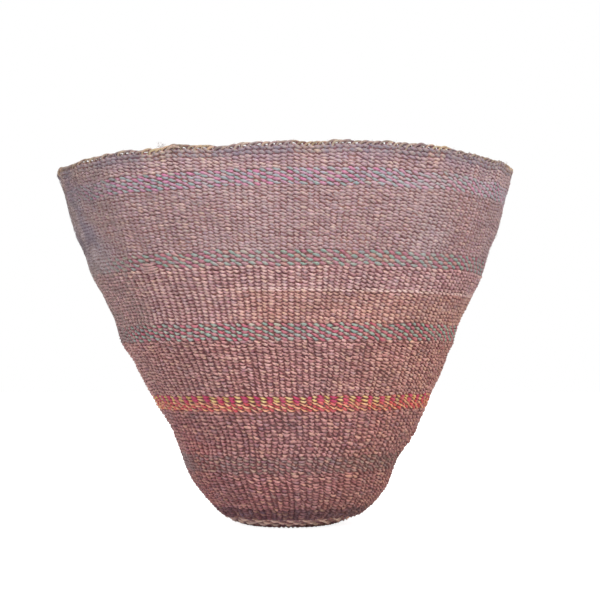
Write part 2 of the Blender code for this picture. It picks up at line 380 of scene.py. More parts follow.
def finish_tree(tree, geometry, given, wanted, exposed=None):
    """Ends a tree: marks how far each point stands out, for the finish's painted shade, and gives the
    fibre.
    """
    if exposed is not None:
        geometry = add(tree, "GeometryNodeStoreNamedAttribute", {
            "Geometry": geometry, "Name": "Exposed", "Value": exposed,
        }, data_type="FLOAT", domain="POINT")[0]
    smooth = add(tree, "GeometryNodeSetShadeSmooth", {"Geometry": geometry})[0]
    real = add(tree, "GeometryNodeRealizeInstances", {"Geometry": smooth})[0]
    fibred = add(tree, "GeometryNodeSetMaterial", {
        "Geometry": real, "Material": given["Material"],
    })[0]
    tree.links.new(fibred, wanted["Geometry"])


weft, given, wanted = new_group("Twined weft", "GeometryNodeTree", {
    "Guide": "object", "Material": "material", "First along": "number", "Row pitch": "number",
    "Rows": "count", "Columns": "count", "Strand": "number", "Shift": "number",
    "Throw": "number", "Drop": "number", "Yarn height": "number", "Yarn depth": "number",
    "Looseness": "number", "Uneven twist": "number", "Lift": "number", "Seed": "count",
}, {"Geometry": "geometry"})
stitch_count = calc(weft, "MULTIPLY", given["Rows"], given["Columns"])
ring_count = calc(weft, "MULTIPLY_ADD", stitch_count, SEGMENTS_PER_STITCH, 1)
line = add(weft, "GeometryNodeCurvePrimitiveLine")[0]
rail = add(weft, "GeometryNodeResampleCurve", {"Curve": line, "Count": ring_count})[0]
stitches = calc(weft, "DIVIDE", add(weft, "GeometryNodeInputIndex")[0], SEGMENTS_PER_STITCH)
turns = calc(weft, "DIVIDE", stitches, given["Columns"])
turn = calc(weft, "FRACT", turns)
whole_turns = calc(weft, "ADD", calc(weft, "FLOOR", turns), eased(weft, turn, SEAM_SHARE, 1.0))
shifted = calc(weft, "MULTIPLY_ADD", whole_turns, given["Shift"], given["Strand"])
along_hand = calc(weft, "MULTIPLY_ADD", given["Seed"], SEED_STEP, stitches)
hand = noise(weft, along_hand, DRIFT_RATE, detail=1.0)["Fac"]
even_twist = calc(weft, "ADD", stitches, shifted)
half_turns = varied(weft, even_twist, hand, given["Uneven twist"])
phase = calc(weft, "MULTIPLY", half_turns, math.pi)
swing = calc(weft, "COSINE", phase)
dip = calc(weft, "SINE", phase)
chance = chances(weft, calc(weft, "FLOOR", calc(weft, "ADD", stitches, 0.5)), given["Seed"])
loose = parts(weft, scaled(weft, chance, given["Looseness"]))
along = calc(weft, "MULTIPLY_ADD", turns, given["Row pitch"], given["First along"])
spot = placed_on_wall(weft, given["Guide"], turn, along)
loose_out = calc(weft, "MULTIPLY_ADD", loose["X"], LOOSE_OUT_SHARE, given["Lift"])
out_way = calc(weft, "MULTIPLY_ADD", swing, given["Throw"], loose_out)
drop = calc(weft, "MULTIPLY", given["Drop"], -1.0)
up_way = calc(weft, "MULTIPLY_ADD", dip, drop, loose["Y"])
kept = captured(
    weft, rail, Outward=spot["Outward"], Upward=spot["Upward"], Swing=swing,
    Centre=added(
        weft, spot["Place"], scaled(weft, spot["Outward"], out_way),
        scaled(weft, spot["Upward"], up_way),
    ),
    Flat=calc(weft, "MULTIPLY", swing, swing),
    Plump=calc(weft, "MULTIPLY_ADD", parts(weft, chance)["Z"], PLUMPNESS, 1.0),
)
profile = add(weft, "GeometryNodeCurvePrimitiveCircle", {
    "Resolution": YARN_SIDES, "Radius": YARN_DEPTH,
})[0]
tube = tubed(weft, kept["Geometry"], profile)
side = calc(weft, "MULTIPLY", add(weft, "GeometryNodeInputIndex")[0], math.tau / YARN_SIDES)
side_up = calc(weft, "SINE", side)
height_share = calc(weft, "MULTIPLY_ADD", kept["Flat"], HEIGHT_GAIN, CROSSING_HEIGHT)
depth_share = calc(weft, "MULTIPLY_ADD", kept["Flat"], DEPTH_GAIN, CROSSING_DEPTH)
half_height = calc(
    weft, "MULTIPLY", calc(weft, "MULTIPLY", given["Yarn height"], height_share), kept["Plump"]
)
half_depth = calc(weft, "MULTIPLY", given["Yarn depth"], depth_share)
out_side = calc(weft, "MULTIPLY", calc(weft, "COSINE", side), half_depth)
up_side = calc(weft, "MULTIPLY", side_up, calc(weft, "MULTIPLY", half_height, -1.0))
shaped = add(weft, "GeometryNodeSetPosition", {"Geometry": tube, "Position": added(
    weft, kept["Centre"], scaled(weft, kept["Outward"], out_side),
    scaled(weft, kept["Upward"], up_side),
)})[0]
# How far each point stands out of the weave, lowered on the yarn's underside; the finish paints shade
# where this is low: at the crossings between warps and under each yarn
swung = calc(weft, "ABSOLUTE", kept["Swing"])
exposed = calc(weft, "MULTIPLY_ADD", side_up, -UNDERSIDE_SHADE, swung)
finish_tree(weft, shaped, given, wanted, exposed)


# The fibre that all yarns and cords are spun from: dull plant fibre, dyed unevenly from stitch to
# stitch and along the yarn, blotched, with a few strays of other dyes, and with fine fibres that
# run with its twist. It also gives how far each place is left out of the painted shade that
# darkens the hollows between the stitches and the undersides of the yarns, unevenly along them.
STRAYS = ((226, 178, 144), (134, 126, 146))
STRAY_CHANCE = 0.13
STRAY_SHARE = 0.26
# How fast each unevenness changes along a yarn, for each stitch
SLOW_RATE = 0.045
FIBRE_RATE = 0.35
BLOTCH_RATE = 2.4
HOLLOW_SHADE_RATE = 1.7
FIBRE_GRAIN = 2.2
BLOTCH_GRAIN = 0.9
MIDDLE_PALENESS = 0.45
SLOW_SPREAD = 1.6
HUE_SPREAD = 0.28
HOLLOW_SHADE_SPREAD = 0.9
HOLLOW_SHADE_EDGES = (0.02, 0.90)
ROUGHNESS = 0.72
ROUGHNESS_SPREAD = 0.25
FIBRE_RELIEF = 0.7
PLY_RELIEF = 0.5


def colour(red, green, blue):
    """A colour by its 0 to 255 values, as the shaders take it."""
    channels = []
    for value in (red, green, blue):
        share = value / 255
        channels.append(share / 12.92 if share <= 0.04045 else ((share + 0.055) / 1.055) ** 2.4)
    return (*channels, 1.0)


def mixed(tree, share, first, second, blend="MIX"):
    """This share of the second colour laid over the first."""
    return add(
        tree, "ShaderNodeMix", {0: share, 6: first, 7: second}, data_type="RGBA", blend_type=blend
    )[2]


spun, given, wanted = new_group("Spun fibre", "ShaderNodeTree", {
    "Yarn": "vector", "Exposed": "number", "Dye": "colour", "Pale": "colour", "Seed": "number",
    "Stitch spread": "number", "Fibre spread": "number", "Twist": "number",
}, {"Colour": "colour", "Raised": "number", "Roughness": "number", "Height": "number"})
yarn = parts(spun, given["Yarn"])
seeded = calc(spun, "ADD", yarn["X"], given["Seed"])
stitch = calc(spun, "FLOOR", calc(spun, "ADD", seeded, 0.5))
per_stitch = add(spun, "ShaderNodeTexWhiteNoise", {"W": stitch}, noise_dimensions="1D")
slow = noise(spun, calc(spun, "MULTIPLY", seeded, SLOW_RATE), 1.0, detail=2.0)["Fac"]
round_yarn = calc(spun, "MULTIPLY", yarn["Y"], math.tau)
angle = calc(spun, "MULTIPLY_ADD", yarn["X"], given["Twist"], round_yarn)
cosine = calc(spun, "COSINE", angle)
sine = calc(spun, "SINE", angle)
fibre_place = built(spun, cosine, sine, calc(spun, "MULTIPLY", seeded, FIBRE_RATE))
fibres = noise(spun, fibre_place, FIBRE_GRAIN, detail=4.0, roughness=0.65)["Fac"]
blotch_place = built(spun, cosine, sine, calc(spun, "MULTIPLY", seeded, BLOTCH_RATE))
blotches = noise(spun, blotch_place, BLOTCH_GRAIN, detail=1.0)
paleness = MIDDLE_PALENESS
for unevenness, spread in (
    (per_stitch["Value"], given["Stitch spread"]), (slow, SLOW_SPREAD),
    (fibres, given["Fibre spread"]), (blotches["Fac"], given["Fibre spread"]),
):
    paleness = varied(spun, paleness, unevenness, spread)
dyed = mixed(spun, paleness, given["Dye"], given["Pale"])
draws = parts(spun, per_stitch["Color"])
for chance, stray in zip((draws["X"], draws["Y"]), STRAYS):
    is_stray = calc(spun, "GREATER_THAN", chance, 1 - STRAY_CHANCE)
    share = calc(spun, "MULTIPLY", is_stray, given["Stitch spread"])
    dyed = mixed(spun, calc(spun, "MULTIPLY", share, STRAY_SHARE), dyed, colour(*stray))
dyed = mixed(spun, HUE_SPREAD, dyed, blotches["Color"], "OVERLAY")
# Painted shade: how far a place is left out of the shading of hollows and undersides, made uneven
# along the yarn
hollows = noise(spun, calc(spun, "MULTIPLY", seeded, HOLLOW_SHADE_RATE), 1.0, detail=1.0)["Fac"]
bared = varied(spun, given["Exposed"], hollows, HOLLOW_SHADE_SPREAD)
ply = calc(spun, "MULTIPLY", calc(spun, "ABSOLUTE", sine), PLY_RELIEF)
fill(spun, wanted, {
    "Colour": dyed, "Raised": eased(spun, bared, *HOLLOW_SHADE_EDGES),
    "Roughness": calc(spun, "MULTIPLY_ADD", fibres, ROUGHNESS_SPREAD, ROUGHNESS),
    "Height": calc(spun, "MULTIPLY_ADD", fibres, FIBRE_RELIEF, ply),
})

# Years of light have greyed the whole basket in patches, most of all on its left side, where
# bluish dust lies too. The right side is a little warmer low down, and a few places are stained
# or rubbed pale. All of it lies over the dye. Over all of it lies painted shade, in the colour
# given for the hollows, where a place is sunk in the weave or faces down.
LEFT_MIDDLE = -105
RIGHT_MIDDLE = 90
# Degrees from a side's middle up to which it is full, and to which it reaches
LEFT_REACH = (34, 58)
RIGHT_REACH = (40, 80)
RAGGED = 0.6
# How squarely a place faces the front where the left side fades in round the back
BACK_FADE = (-0.97, -0.25)
PATCH_SCALE = 22.0
PATCH_MIDDLE = 0.42
DUST_SCALE = 38.0
DUST_EDGES = (0.42, 0.62)
DUST_HEIGHTS = (0.175, 0.205)
RIM_DUST_HEIGHTS = (0.236, 0.248)
RIM_DUST = 0.7
BLUE_DUST = (134, 124, 147)
BLUE_DUST_SHARE = 0.50
# How much the painted shade in the hollows is lifted on the left side, under its veil of loose fibres
LEFT_VEIL = 0.22
WARM_SIDE = (1.02, 0.97, 0.87)
WARM_HEIGHTS = (0.17, 0.13)
# Stained and rubbed places: degrees from the front, height, reach, and what each channel is
# multiplied by
STAINS = (
    (56, 0.182, 0.050, (0.97, 0.91, 0.91)), (-66, 0.1985, 0.007, (0.62, 0.56, 0.66)),
    (-52, 0.052, 0.045, (1.03, 0.90, 0.90)), (-57, 0.190, 0.058, (1.08, 1.08, 1.10)),
    (42, 0.231, 0.044, (0.96, 0.93, 0.90)), (43, 0.147, 0.034, (0.93, 0.93, 0.95)),
)


def level_way(azimuth):
    """The level direction at degrees right of the front."""
    return math.sin(math.radians(azimuth)), -math.cos(math.radians(azimuth)), 0.0


greyed_and_shaded, given, wanted = new_group("Greyed by light and painted shade", "ShaderNodeTree", {
    "Place": "vector", "Colour": "colour", "Raised": "number", "Grey": "colour",
    "Left side": "number", "Right side": "number", "Patches": "number", "Hollow shade": "colour",
}, {"Colour": "colour"})
height = parts(greyed_and_shaded, given["Place"])["Z"]
patches = noise(greyed_and_shaded, given["Place"], PATCH_SCALE, detail=3.0)["Fac"]
level = vector_calc(greyed_and_shaded, "MULTIPLY", given["Place"], (1.0, 1.0, 0.0))
from_middle = vector_calc(greyed_and_shaded, "NORMALIZE", level)
sides = []
for middle, (full, reach) in ((LEFT_MIDDLE, LEFT_REACH), (RIGHT_MIDDLE, RIGHT_REACH)):
    facing = vector_calc(greyed_and_shaded, "DOT_PRODUCT", from_middle, level_way(middle), gives="Value")
    ragged = varied(greyed_and_shaded, facing, patches, RAGGED)
    edges = (math.cos(math.radians(reach)), math.cos(math.radians(full)))
    sides.append(eased(greyed_and_shaded, ragged, *edges))
left_side, right_side = sides
facing_front = vector_calc(greyed_and_shaded, "DOT_PRODUCT", from_middle, level_way(0), gives="Value")
away_from_back = add(greyed_and_shaded, "ShaderNodeMapRange", {
    "Value": facing_front, "From Min": BACK_FADE[0], "From Max": BACK_FADE[1],
})[0]
left_side = calc(greyed_and_shaded, "MULTIPLY", left_side, away_from_back)
over_middle = calc(greyed_and_shaded, "SUBTRACT", patches, PATCH_MIDDLE)
amount = calc(greyed_and_shaded, "MULTIPLY", over_middle, given["Patches"])
amount = calc(greyed_and_shaded, "MULTIPLY_ADD", left_side, given["Left side"], amount)
amount = calc(greyed_and_shaded, "MULTIPLY_ADD", right_side, given["Right side"], amount)
worn = mixed(greyed_and_shaded, amount, given["Colour"], given["Grey"])
dust_patches = eased(
    greyed_and_shaded, noise(greyed_and_shaded, given["Place"], DUST_SCALE, detail=2.0)["Fac"], *DUST_EDGES
)
on_left = calc(greyed_and_shaded, "MULTIPLY", left_side, eased(greyed_and_shaded, height, *DUST_HEIGHTS))
at_rim = calc(
    greyed_and_shaded, "MULTIPLY", eased(greyed_and_shaded, height, *RIM_DUST_HEIGHTS, RIM_DUST), away_from_back
)
dust = calc(greyed_and_shaded, "MULTIPLY", dust_patches, calc(greyed_and_shaded, "MAXIMUM", on_left, at_rim))
dust = calc(greyed_and_shaded, "MULTIPLY", dust, BLUE_DUST_SHARE)
worn = mixed(greyed_and_shaded, dust, worn, colour(*BLUE_DUST))
warm = calc(greyed_and_shaded, "MULTIPLY", right_side, eased(greyed_and_shaded, height, *WARM_HEIGHTS))
worn = mixed(greyed_and_shaded, warm, worn, (*WARM_SIDE, 1.0), "MULTIPLY")
for azimuth, middle_height, reach, tint in STAINS:
    radius = float(np.interp(middle_height, wall_heights, wall_radii))
    sideways, forward, _ = level_way(azimuth)
    away = vector_calc(
        greyed_and_shaded, "DISTANCE", given["Place"], (radius * sideways, radius * forward, middle_height),
        gives="Value",
    )
    ragged_away = calc(greyed_and_shaded, "MULTIPLY_ADD", patches, reach, away)
    near = eased(greyed_and_shaded, ragged_away, 1.5 * reach, 0.5 * reach)
    worn = mixed(greyed_and_shaded, near, worn, (*tint, 1.0), "MULTIPLY")
# Painted shade: where a place is sunk in the weave or faces down, the colour given for the hollows is
# multiplied in; the left side, under its fibres, gets less of it.
veil = calc(greyed_and_shaded, "MULTIPLY", left_side, LEFT_VEIL)
lit = calc(greyed_and_shaded, "MAXIMUM", given["Raised"], veil)
shade = mixed(greyed_and_shaded, lit, given["Hollow shade"], (1.0, 1.0, 1.0, 1.0))
fill(greyed_and_shaded, wanted, {"Colour": mixed(greyed_and_shaded, 1.0, worn, shade, "MULTIPLY")})

# A new lot of coral yarn was begun in front, a little above the lower mint band, with a pale row.
# It reaches round the right side and is not dyed like the old lot.
LOT_START = -13
LOT_END = 150
LOT_BLEND = 6
LOT_TOP = 0.1632
PALE_ROW = 0.0010
lots, given, wanted = new_group(
    "Coral lot", "ShaderNodeTree", {"Place": "vector"}, {"Lot": "number", "Pale row": "number"}
)
place = parts(lots, given["Place"])
azimuth = calc(lots, "ARCTAN2", place["X"], calc(lots, "MULTIPLY", place["Y"], -1.0))
begun, ended = [
    eased(lots, azimuth, math.radians(edge - blend), math.radians(edge + blend))
    for edge, blend in ((LOT_START, LOT_BLEND), (LOT_END, -LOT_BLEND))
]
between = calc(lots, "MULTIPLY", begun, ended)
below = calc(lots, "LESS_THAN", place["Z"], LOT_TOP)
at_top = calc(lots, "COMPARE", place["Z"], LOT_TOP, PALE_ROW)
fill(lots, wanted, {
    "Lot": calc(lots, "MULTIPLY", between, below),
    "Pale row": calc(lots, "MULTIPLY", between, at_top),
})

# Painted shade: what is left of each channel down in the hollows and on the yarns' undersides,
# from the dark lower rows to the faded top
DARK_HOLLOW_SHADE = (0.34, 0.20, 0.24)
SOFT_HOLLOW_SHADE = (0.60, 0.47, 0.51)
FADED_HOLLOW_SHADE = (0.87, 0.81, 0.84)
GREY = (168, 142, 142)
LEFT_GREYED = 0.25
PATCHES = 0.9
STITCH_SPREAD = 0.9
FIBRE_SPREAD = 1.8
FIBRE_TWIST = 1.6
RELIEF = 0.00012
RELIEF_STRENGTH = 0.7


def fibre_finish(
    name, dye, pale, seed, grey=GREY, left_side=LEFT_GREYED, right_side=0.0, patches=PATCHES,
    stitch_spread=STITCH_SPREAD, hollow_shade=DARK_HOLLOW_SHADE, lot=None,
):
    """A yarn's or cord's finish: its dye, the paler shade it drifts to, what light greys it to.

    Where a lot is given, its two colours take the place of the dye and the paler shade in it, and
    its third is that of the pale row.
    """
    material = bpy.data.materials.new(name)
    material.use_nodes = True
    tree = material.node_tree
    place = add(tree, "ShaderNodeTexCoord")["Object"]
    dyes = {"Dye": colour(*dye), "Pale": colour(*pale)}
    if lot:
        coral = add(tree, "ShaderNodeGroup", {"Place": place}, node_tree=lots)
        for label, in_lot in zip(("Dye", "Pale"), lot):
            dyes[label] = mixed(tree, coral["Lot"], dyes[label], colour(*in_lot))
            dyes[label] = mixed(tree, coral["Pale row"], dyes[label], colour(*lot[2]))
    fibre = add(tree, "ShaderNodeGroup", {
        "Yarn": add(tree, "ShaderNodeUVMap", uv_map="Yarn")[0],
        "Exposed": add(tree, "ShaderNodeAttribute", attribute_name="Exposed")["Fac"],
        "Seed": seed, "Stitch spread": stitch_spread, "Fibre spread": FIBRE_SPREAD,
        "Twist": FIBRE_TWIST, **dyes,
    }, node_tree=spun)
    aged_and_shaded = add(tree, "ShaderNodeGroup", {
        "Place": place, "Colour": fibre["Colour"], "Raised": fibre["Raised"],
        "Hollow shade": (*hollow_shade, 1.0), "Grey": colour(*grey), "Left side": left_side,
        "Right side": right_side, "Patches": patches,
    }, node_tree=greyed_and_shaded)
    bump = add(tree, "ShaderNodeBump", {
        "Height": fibre["Height"], "Distance": RELIEF, "Strength": RELIEF_STRENGTH,
    })
    fill(tree, tree.nodes["Principled BSDF"].inputs, {
        "Base Color": aged_and_shaded["Colour"], "Roughness": fibre["Roughness"], "Normal": bump[0],
        "Specular IOR Level": 0.25, "Sheen Weight": 0.08, "Sheen Roughness": 0.6,
    })
    return material


# The warp cords: stiff cords of tan fibre that stand up inside the weft and carry it. New ones are
# added as the wall widens. They show between the stitches, and bare just under the rim.
CROWN_HEIGHT = 0.0016
RIM_HEIGHT = 0.0021
RIM_GAP = 0.0003
LAST_ROW_RISE = 0.0012
WARP_WIDTH_SHARE = 1.42
BARE_WARP_SHARE = 0.52
WARP_DEPTH = 0.0011
WARP_SIDES = 6
WOVEN_HEIGHT = HEIGHT - RIM_HEIGHT - CROWN_HEIGHT - RIM_GAP
START_RADIUS = 0.0117
BASE_SHARE = 0.006
base_end = along_at(BASE_SHARE * WOVEN_HEIGHT)
# The base: from, to, warps
BASE_RINGS = ((START_RADIUS, 0.017, 24), (0.017, 0.027, 40), (0.027, base_end, 60))
# Each run of rows: its CAD ring, where it ends (share of the woven height), and its warps
RUNS = (
    ("foot_line_weft", 0.026, 52), ("foot_band_weft", 0.058, 84), ("plain_weft_1", 0.162, 98),
    ("faint_band_weft", 0.209, 112), ("plain_weft_2", 0.334, 130),
    ("red_yellow_band_weft", 0.375, 142), ("plain_weft_3", 0.523, 164),
    ("lower_mint_band_weft", 0.567, 176), ("plain_weft_4", 0.711, 190),
    ("middle_mint_band_weft", 0.750, 208), ("plain_weft_5", 0.908, 228),
    ("pink_mint_band_weft", 0.950, 228), ("top_weft", 1.000, 228),
)


def laid_rails(tree, given):
    """One line of points for each column; returns them, a point's line and its share along it."""
    line = add(tree, "GeometryNodeCurvePrimitiveLine")[0]
    rail = add(tree, "GeometryNodeResampleCurve", {"Curve": line, "Count": given["Points"]})[0]
    rails = add(tree, "GeometryNodeDuplicateElements", {
        "Geometry": rail, "Amount": given["Columns"],
    }, domain="SPLINE")[0]
    index = add(tree, "GeometryNodeInputIndex")[0]
    past_half = calc(tree, "ADD", index, 0.5)
    cord = calc(tree, "FLOOR", calc(tree, "DIVIDE", past_half, given["Points"]))
    point = calc(tree, "SUBTRACT", index, calc(tree, "MULTIPLY", cord, given["Points"]))
    share = calc(tree, "DIVIDE", point, calc(tree, "SUBTRACT", given["Points"], 1.0))
    return rails, cord, share


def oval_tubed(tree, lines, flat_side, sides, given, scale=1.0):
    """Closed tubes along lines, as broad as the Width and as thick as the Depth."""
    facing = add(tree, "GeometryNodeSetCurveNormal", {
        "Curve": lines, "Normal": flat_side,
    }, mode="FREE")[0]
    circle = add(tree, "GeometryNodeCurvePrimitiveCircle", {"Resolution": sides, "Radius": 0.5})[0]
    oval = add(tree, "GeometryNodeTransform", {
        "Geometry": circle, "Scale": built(tree, given["Depth"], given["Width"], 1.0),
    })[0]
    return tubed(tree, facing, oval, scale)


def made_by(tree, name, values, start=None):
    """Runs a geometry tree on a new object and keeps the result as a plain mesh."""
    piece = bpy.data.objects.new(name, start or bpy.data.meshes.new(name))
    scene.collection.objects.link(piece)
    modifier = piece.modifiers.new("Made", "NODES")
    modifier.node_group = tree
    for item in tree.interface.items_tree:
        if item.in_out == "INPUT" and item.name in values:
            modifier[item.identifier] = values[item.name]
    evaluated = piece.evaluated_get(bpy.context.evaluated_depsgraph_get())
    mesh = bpy.data.meshes.new_from_object(evaluated)
    mesh.name = name
    bpy.data.objects.remove(piece, do_unlink=True)
    piece = bpy.data.objects.new(name, mesh)
    scene.collection.objects.link(piece)
    return piece


TUBE_STEP = 5.0
# Spare room in the baked map, the gap beside each strip, and the size of an end in its cell
MAP_ROOM = 1.15
STRIP_GAP = 0.07
CAP_SIZE = 0.3


def lay_yarn_maps(piece, rings_of_tubes, sides, ring_step, cell_shape):
    """Maps tubes twice: Yarn runs along and round each, OFBake folds them all into one square.

    ring_step is the way along Yarn from ring to ring, and cell_shape a face's length over its
    width. Along Yarn, each tube starts well past the last.
    """
    cells = sum(rings_of_tubes)
    per_strip = max(1, round(math.sqrt(cells * sides * MAP_ROOM / cell_shape)))
    strips = math.ceil(cells / per_strip)
    side_marks = np.arange(sides) / sides
    cap_angle = math.tau * np.arange(sides) / sides
    yarn, bake = [], []
    first_cell = 0
    for tube, rings in enumerate(rings_of_tubes):
        yarn_start = tube * TUBE_STEP
        ring, face = np.meshgrid(np.arange(rings - 1), np.arange(sides), indexing="ij")
        rings_at = np.stack((ring, ring, ring + 1, ring + 1), axis=-1)
        sides_at = np.stack((face, face + 1, face + 1, face), axis=-1)
        cell = first_cell + ring
        strip = (cell // per_strip)[..., None]
        across = ((cell % per_strip)[..., None] + (rings_at - ring[..., None])) / per_strip
        up = (strip + STRIP_GAP + (1 - 2 * STRIP_GAP) * sides_at / sides) / strips
        yarn.append(np.stack((yarn_start + rings_at * ring_step, sides_at / sides), axis=-1))
        bake.append(np.stack((across, up), axis=-1))
        cap_cell = first_cell + rings - 1
        cap_across = (cap_cell % per_strip + 0.5) / per_strip
        cap_up = (cap_cell // per_strip + 0.5) / strips
        for end in (0, rings - 1):
            end_at = np.full(sides, yarn_start + end * ring_step)
            yarn.append(np.stack((end_at, side_marks), axis=-1))
            bake.append(np.stack((
                cap_across + CAP_SIZE * np.cos(cap_angle) / per_strip,
                cap_up + CAP_SIZE * np.sin(cap_angle) / strips,
            ), axis=-1))
        first_cell += rings
    for label, pairs in (("Yarn", yarn), ("OFBake", bake)):
        layer = piece.data.uv_layers.new(name=label)
        coordinates = np.concatenate([part.ravel() for part in pairs])
        layer.uv.foreach_set("vector", coordinates.astype(np.float32))


warp_run, given, wanted = new_group("Warp cords", "GeometryNodeTree", {
    "Guide": "object", "First along": "number", "Last along": "number", "Columns": "count",
    "Points": "count", "Width": "number", "Depth": "number",
}, {"Geometry": "geometry"})
rails, cord, share = laid_rails(warp_run, given)
turn = calc(warp_run, "DIVIDE", cord, given["Columns"])
length = calc(warp_run, "SUBTRACT", given["Last along"], given["First along"])
along = calc(warp_run, "MULTIPLY_ADD", share, length, given["First along"])
spot = placed_on_wall(warp_run, given["Guide"], turn, along)
standing = add(warp_run, "GeometryNodeSetPosition", {
    "Geometry": rails, "Position": spot["Place"],
})[0]
cords = oval_tubed(warp_run, standing, spot["Outward"], WARP_SIDES, given)
fill(warp_run, wanted, {"Geometry": cords})

runs = []
low = base_end
for node, edge_share, columns in RUNS:
    high = along_at(edge_share * WOVEN_HEIGHT)
    if edge_share == 1:
        high += LAST_ROW_RISE
    runs.append((node, low, high, columns))
    low = high
woven_end = high
stretches = [(*base_ring, WARP_WIDTH_SHARE) for base_ring in BASE_RINGS]
stretches += [(low, high, columns, WARP_WIDTH_SHARE) for _, low, high, columns in runs]
stretches.append((woven_end - CROWN_HEIGHT, woven_end + CROWN_HEIGHT, columns, BARE_WARP_SHARE))

all_warps, given, wanted = new_group("All warp cords", "GeometryNodeTree", {
    "Guide": "object", "Material": "material", "Depth": "number",
}, {"Geometry": "geometry"})
joined = all_warps.nodes.new("GeometryNodeJoinGeometry")
warp_rings = []
for low, high, columns, width_share in stretches:
    points = max(2, round((high - low) / (2 * ROW_PITCH)) + 1)
    around = math.tau * float(np.interp(low, path_along, path_radius))
    warp_rings += [points] * columns
    stretch = add(all_warps, "GeometryNodeGroup", {
        "Guide": given["Guide"], "Depth": given["Depth"], "First along": low, "Last along": high,
        "Columns": columns, "Points": points, "Width": width_share * around / columns,
    }, node_tree=warp_run)
    all_warps.links.new(stretch[0], joined.inputs[0])
finish_tree(all_warps, joined.outputs[0], given, wanted)

# No Exposed mark is stored on the warp cords, so painted shade darkens them nearly all over, as though
# deep in the weave, the bare ends under the rim as well.
warps = made_by(all_warps, "warp_cords", {
    "Guide": guide, "Depth": WARP_DEPTH,
    "Material": fibre_finish(
        "warp_fibre", (150, 112, 106), (186, 150, 140), seed=3.0, hollow_shade=SOFT_HOLLOW_SHADE
    ),
})
lay_yarn_maps(warps, warp_rings[::-1], WARP_SIDES, ring_step=1.0, cell_shape=3.0)
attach(warps, "root")
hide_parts("warp_crown")


# The rows of weft, run by run from the base up. Each run has its own pair of yarns. Where the two
# differ in colour, a stitch of one stands beside a stitch of the other, and each row is one stitch
# on from the row below, so the colours climb the wall in slanting lines.
FACE_LENGTH_OVER_WIDTH = 1.6
# The dye of each yarn and the paler shade that it drifts to
BASE_PLUM = ((150, 104, 104), (178, 132, 130))
PALE_PINK = ((252, 206, 192), (255, 228, 214))
CHARCOAL = ((146, 98, 102), (172, 126, 128))
CHARCOAL_PLUM = ((128, 82, 89), (156, 110, 113))
DARK_CHARCOAL = ((112, 74, 83), (142, 100, 105))
PLUM = ((163, 103, 105), (208, 151, 146))
BROWN_PLUM = ((161, 107, 107), (200, 150, 146))
GREY_GREEN = ((148, 116, 113), (180, 150, 142))
LIGHT_PLUM = ((172, 114, 116), (217, 163, 157))
SALMON_RED = ((224, 97, 108), (236, 131, 130))
ORANGE = ((246, 178, 140), (250, 204, 166))
CRIMSON = ((200, 72, 112), (216, 98, 122))
YELLOW = ((228, 190, 124), (244, 216, 160))
ROSE_MAUVE = ((185, 129, 127), (229, 181, 174))
DEEP_ROSE = ((208, 108, 126), (196, 142, 147))
MINT = ((154, 174, 162), (181, 187, 178))
PALE_ROSE = ((191, 145, 145), (232, 194, 190))
DULL_ROSE = ((185, 113, 129), (178, 139, 143))
DULL_MINT = ((145, 165, 153), (167, 168, 162))
GREY_MAUVE = ((169, 137, 138), (201, 172, 171))
PINK = ((209, 126, 161), (190, 161, 175))
BLUE_MINT = ((148, 165, 163), (178, 174, 179))
PALE_MAUVE = ((185, 151, 154), (219, 192, 188))
BLUE_MAUVE = ((155, 138, 142), (193, 171, 163))
# The coral lot: its dye, its paler shade, and the pale row
CORAL_LOT = ((195, 143, 133), (230, 186, 175), (240, 206, 198))
# Painted shade in the hollows of the red band
RED_HOLLOW_SHADE = (0.72, 0.42, 0.44)
PALE_GREY = (206, 190, 193)
BASE = dict(throw=0.00102, depth=0.0015, loose=0.0001)
# The thick yarns of the foot line: one pale and lying further out, one dark
FOOT_LINE = dict(
    shift=1, pitch=0.0044, throw=0.00075, drop=0.0009, depth=0.0019, lift=0.0004, loose=0.00012,
    heights=(0.46, 0.80), left_side=0.0, patches=0.0, hollow_shade=SOFT_HOLLOW_SHADE,
)
# The lower rows, beaten down closer, lie less evenly
CLOSE = dict(loose=0.00044, uneven=0.80, left_side=0.1)
RED = dict(hollow_shade=RED_HOLLOW_SHADE, left_side=0.0, patches=0.3)
# The upper rows, rubbed and bleached, are flatter
FADED = dict(throw=0.0006, depth=0.00135, hollow_shade=FADED_HOLLOW_SHADE)
GREYED = dict(FADED, left_side=0.7, grey=PALE_GREY)
EVEN_DYE = 0.6
TOP = dict(FADED, stitch_spread=EVEN_DYE)
